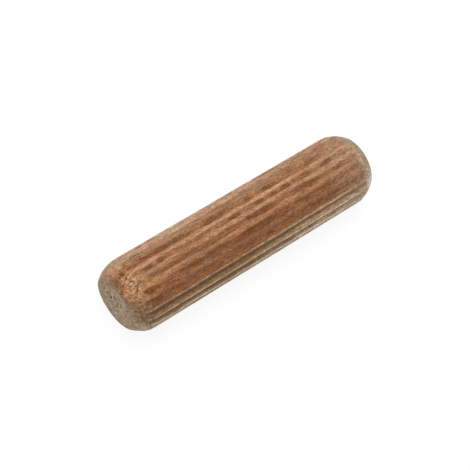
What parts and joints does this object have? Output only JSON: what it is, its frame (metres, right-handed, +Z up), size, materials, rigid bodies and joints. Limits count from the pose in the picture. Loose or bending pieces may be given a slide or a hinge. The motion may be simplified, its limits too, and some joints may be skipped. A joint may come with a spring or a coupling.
{
  "type": "fluted dowel pin",
  "caption": "Round wooden pin with straight flutes all along it and a chamfer at each end, glued into drilled holes to join two panels.",
  "frame": {"origin": "on the surface that the pin lies on, under the middle of the pin", "axes": "+X along the pin, +Y across it, +Z up"},
  "size_m": [0.04, 0.01, 0.01],
  "materials": {
    "hardwood": "bare brown hardwood, milled and unfinished, with paler rubbed crests and darker flutes"
  },
  "bodies": {
    "root": {"dowel_pin": "hardwood"}
  },
  "joints": []
}
